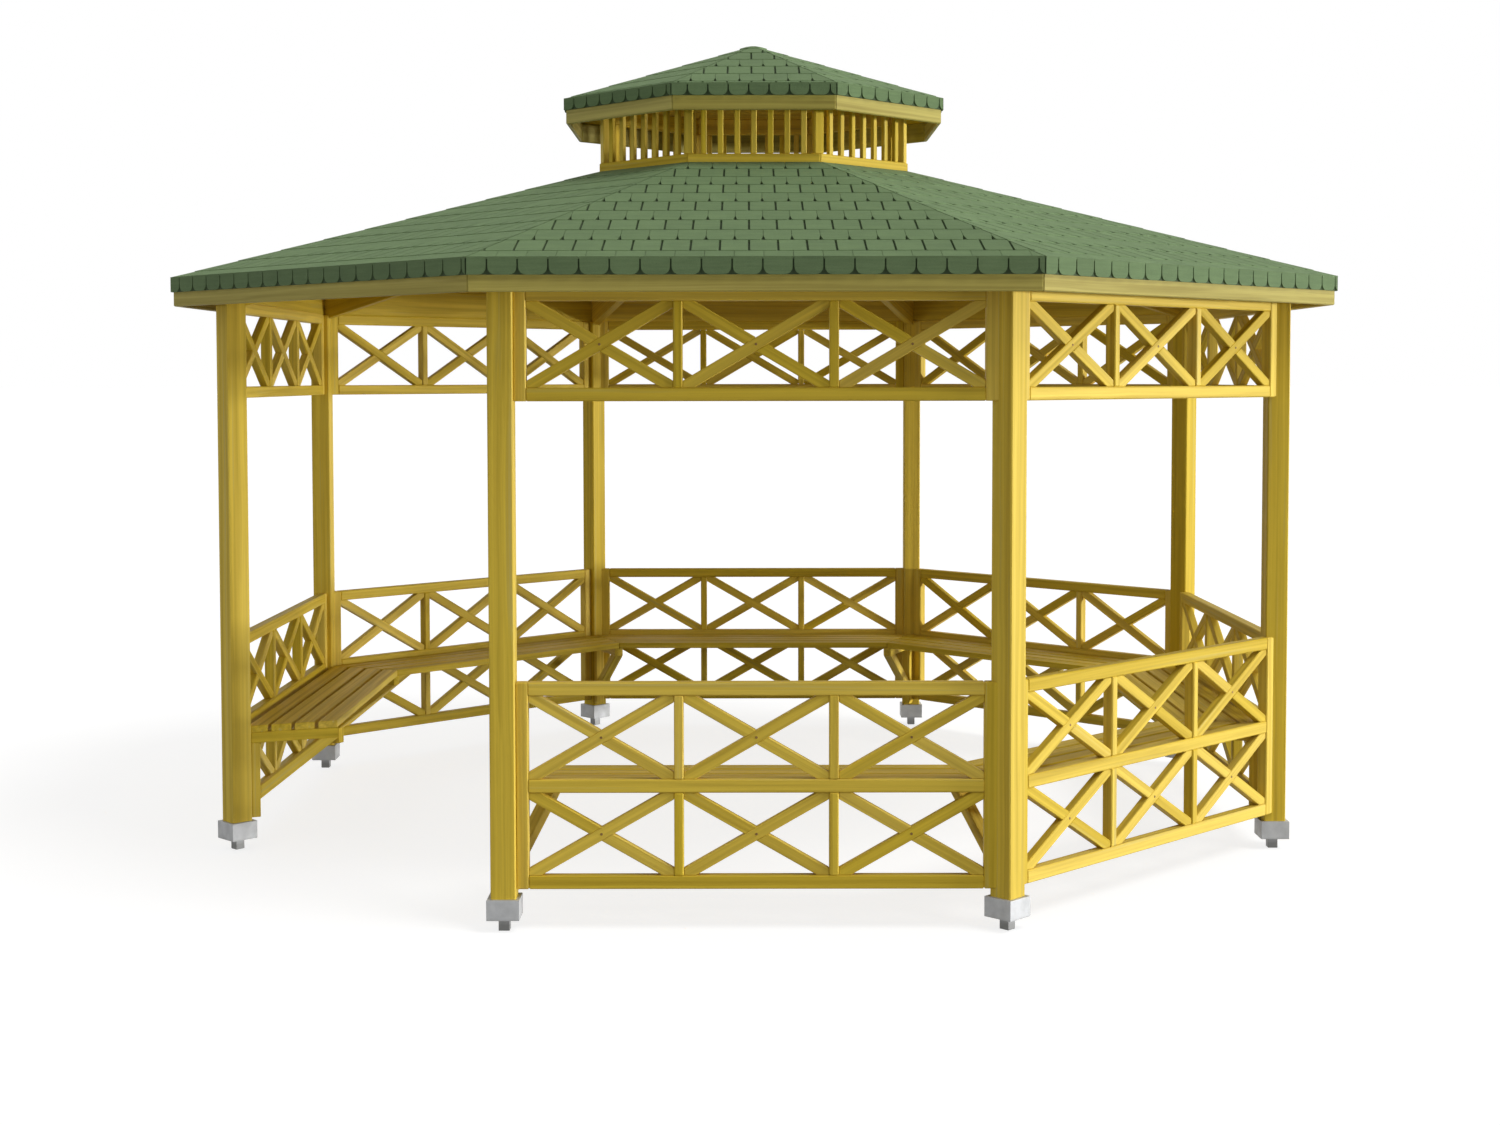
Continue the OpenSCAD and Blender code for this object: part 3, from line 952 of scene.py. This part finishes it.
class GazeboRoofFrame(bpy.types.Operator):
    """Wall plates, hip rafters and fascia boards"""

    bl_idname = "gazebo.roof_frame"
    bl_label = "Roof frame"

    def execute(self, context):
        sizes = context.scene.gazebo_timber
        rng = random.Random(15)
        for name in ("wall_plates", "lantern_curb", "lantern_plate"):
            dressed(name + "_timber", [name], wood(), sizes.arris, rng)
        for name in ("eave_fascia", "lantern_fascia"):
            dressed(name + "_timber", [name], bleached_wood(), sizes.arris, rng)
        dressed(
            "hip_rafters_timber", ["hip_rafters"], ceiling_painted_shade_wood(),
            sizes.thin_arris, rng,
        )
        dressed(
            "lantern_uprights_timber", ["lantern_uprights"], wood(),
            sizes.thin_arris, rng,
        )
        return {"FINISHED"}


class GazeboCeilings(bpy.types.Operator):
    """Boards under both roofs"""

    bl_idname = "gazebo.ceilings"
    bl_label = "Roof boards"

    def execute(self, context):
        sizes = context.scene.gazebo_timber
        rng = random.Random(16)
        ceiling("roof_boards", CURB_RADIUS, ROOF_BOARD, sizes, rng)
        ceiling("lantern_boards", TIP_RADIUS, LANTERN_BOARD, sizes, rng)
        return {"FINISHED"}


class GazeboRoofs(bpy.types.Operator):
    """Courses of green shingles on both roofs, their eave bands and the cap"""

    bl_idname = "gazebo.roofs"
    bl_label = "Shingled roofs"

    def execute(self, context):
        sizes = context.scene.gazebo_shingles
        rng = random.Random(17)
        main_roof = RoofShape("roof_shingles", CURB_RADIUS, ROOF_BAND)
        bm = shingled(main_roof, ROOF_LAY, sizes.band_pitch, sizes, rng)
        close_piece("roof_shingle_courses", bm, shingle(), ["roof_shingles"])
        top_roof = RoofShape("lantern_shingles", TIP_RADIUS, LANTERN_BAND)
        bm = shingled(top_roof, LANTERN_LAY, sizes.top_band_pitch, sizes, rng)
        close_piece("lantern_shingle_courses", bm, shingle(), ["lantern_shingles"])
        fold_cap(top_roof)
        return {"FINISHED"}


class GazeboStage(bpy.types.Operator):
    """Pale floor, soft light and the camera"""

    bl_idname = "gazebo.stage"
    bl_label = "Stage"

    def execute(self, context):
        studio = context.scene.gazebo_studio
        scene = context.scene
        floor = self.floor()
        self.world(scene, studio.sky)
        self.panel_lamp("low_key", studio.key, KEY_PLACE)
        self.panel_lamp("low_left", studio.side, SIDE_PLACE)
        self.lamp("high_fill", studio.fill, FILL_AZIMUTH, FILL_HEIGHT, FILL_SOFTNESS)
        self.camera(scene, studio)
        scene.view_settings.view_transform = "Standard"
        return {"FINISHED"}

    def white_for_camera(self, tree, target, body, sight):
        """Shows one shader to camera, glossy and transmission rays, and another to the rest."""
        rays = tree.nodes.new("ShaderNodeLightPath")
        total = rays.outputs["Is Camera Ray"]
        for key in ("Is Glossy Ray", "Is Transmission Ray"):
            node = tree.nodes.new("ShaderNodeMath")
            node.operation = "MAXIMUM"
            tree.links.new(total, node.inputs[0])
            tree.links.new(rays.outputs[key], node.inputs[1])
            total = node.outputs[0]
        mix = tree.nodes.new("ShaderNodeMixShader")
        tree.links.new(total, mix.inputs[0])
        tree.links.new(body, mix.inputs[1])
        tree.links.new(sight, mix.inputs[2])
        tree.links.new(mix.outputs[0], target)

    def floor(self):
        """A wide plain floor that takes a soft shadow."""
        bm = bmesh.new()
        bmesh.ops.create_grid(bm, x_segments=1, y_segments=1, size=FLOOR_REACH)
        mesh = bpy.data.meshes.new("floor")
        bm.to_mesh(mesh)
        bm.free()
        floor = bpy.data.objects.new("floor", mesh)
        bpy.context.scene.collection.objects.link(floor)
        material = bpy.data.materials.new("pale_floor")
        material.use_nodes = True
        tree = material.node_tree
        tree.nodes.remove(tree.nodes["Principled BSDF"])
        dim = tree.nodes.new("ShaderNodeBsdfDiffuse")
        dim.inputs["Color"].default_value = (FLOOR_GREY, FLOOR_GREY, FLOOR_GREY, 1)
        glow = tree.nodes.new("ShaderNodeEmission")
        glow.inputs["Strength"].default_value = FLOOR_GLOW
        sight = tree.nodes.new("ShaderNodeAddShader")
        tree.links.new(dim.outputs[0], sight.inputs[0])
        tree.links.new(glow.outputs[0], sight.inputs[1])
        target = tree.nodes["Material Output"].inputs["Surface"]
        self.white_for_camera(tree, target, dim.outputs[0], sight.outputs[0])
        mesh.materials.append(material)
        return floor

    def world(self, scene, strength):
        """Dim surroundings that look white to the camera."""
        world = bpy.data.worlds.new("studio")
        scene.world = world
        world.use_nodes = True
        tree = world.node_tree
        dim = tree.nodes["Background"]
        dim.inputs["Color"].default_value = (1, 1, 1, 1)
        dim.inputs["Strength"].default_value = strength
        white = tree.nodes.new("ShaderNodeBackground")
        white.inputs["Color"].default_value = (1, 1, 1, 1)
        white.inputs["Strength"].default_value = 1
        target = tree.nodes["World Output"].inputs["Surface"]
        self.white_for_camera(tree, target, dim.outputs[0], white.outputs[0])

    def panel_lamp(self, name, power, place):
        """A wide soft panel that stands low and far off."""
        light = bpy.data.lights.new(name, "AREA")
        light.energy = power
        light.shape = "RECTANGLE"
        light.size, light.size_y = PANEL_SIZE
        lamp = bpy.data.objects.new(name, light)
        lamp.location = place
        away = lamp.location - AIM
        lamp.rotation_mode = "QUATERNION"
        lamp.rotation_quaternion = away.to_track_quat("Z", "Y")
        bpy.context.scene.collection.objects.link(lamp)

    def lamp(self, name, strength, azimuth, height, softness):
        """A distant soft lamp: azimuth from the front towards the right, in degrees."""
        light = bpy.data.lights.new(name, "SUN")
        light.energy = strength
        light.angle = math.radians(softness)
        lamp = bpy.data.objects.new(name, light)
        a, h = math.radians(azimuth), math.radians(height)
        towards = Vector((math.sin(a) * math.cos(h), -math.cos(a) * math.cos(h), math.sin(h)))
        lamp.rotation_mode = "QUATERNION"
        lamp.rotation_quaternion = towards.to_track_quat("Z", "Y")
        bpy.context.scene.collection.objects.link(lamp)

    def camera(self, scene, studio):
        """Eye-level camera in front of the gazebo."""
        data = bpy.data.cameras.new("camera")
        data.sensor_width = 36
        data.lens = studio.lens
        data.shift_y = studio.drop
        data.clip_end = FAR_CLIP
        camera = bpy.data.objects.new("camera", data)
        camera.location = CAMERA_PLACE
        camera.rotation_euler = CAMERA_TURN
        scene.collection.objects.link(camera)
        scene.camera = camera


class GazeboPanel(bpy.types.Panel):
    """Sizes, colours and buttons"""

    bl_idname = "VIEW3D_PT_gazebo"
    bl_label = "Gazebo"
    bl_space_type = "VIEW_3D"
    bl_region_type = "UI"
    bl_category = "Gazebo"

    def draw(self, context):
        for group in ("gazebo_timber", "gazebo_shingles", "gazebo_steel", "gazebo_studio"):
            settings = getattr(context.scene, group)
            box = self.layout.box()
            for name in settings.__annotations__:
                box.prop(settings, name)
        for operator in OPERATORS:
            self.layout.operator(operator.bl_idname)


OPERATORS = (
    GazeboPosts, GazeboShoes, GazeboPanels, GazeboBench, GazeboRoofFrame, GazeboCeilings,
    GazeboRoofs, GazeboStage,
)
GROUPS = (
    ("gazebo_timber", GazeboTimber), ("gazebo_shingles", GazeboShingles),
    ("gazebo_steel", GazeboSteel), ("gazebo_studio", GazeboStudio),
)


def register():
    """Adds the settings, operators and the panel."""
    for name, group in GROUPS:
        bpy.utils.register_class(group)
        setattr(bpy.types.Scene, name, PointerProperty(type=group))
    for item in (*OPERATORS, GazeboPanel):
        bpy.utils.register_class(item)


def unregister():
    """Takes them away again."""
    for item in (GazeboPanel, *OPERATORS):
        bpy.utils.unregister_class(item)
    for name, group in GROUPS:
        delattr(bpy.types.Scene, name)
        bpy.utils.unregister_class(group)


def main():
    """Builds the whole gazebo and its stage."""
    register()
    bpy.ops.gazebo.posts()
    bpy.ops.gazebo.shoes()
    bpy.ops.gazebo.panels()
    bpy.ops.gazebo.bench()
    bpy.ops.gazebo.roof_frame()
    bpy.ops.gazebo.ceilings()
    bpy.ops.gazebo.roofs()
    bpy.ops.gazebo.stage()


if __name__ == "__main__":
    main()
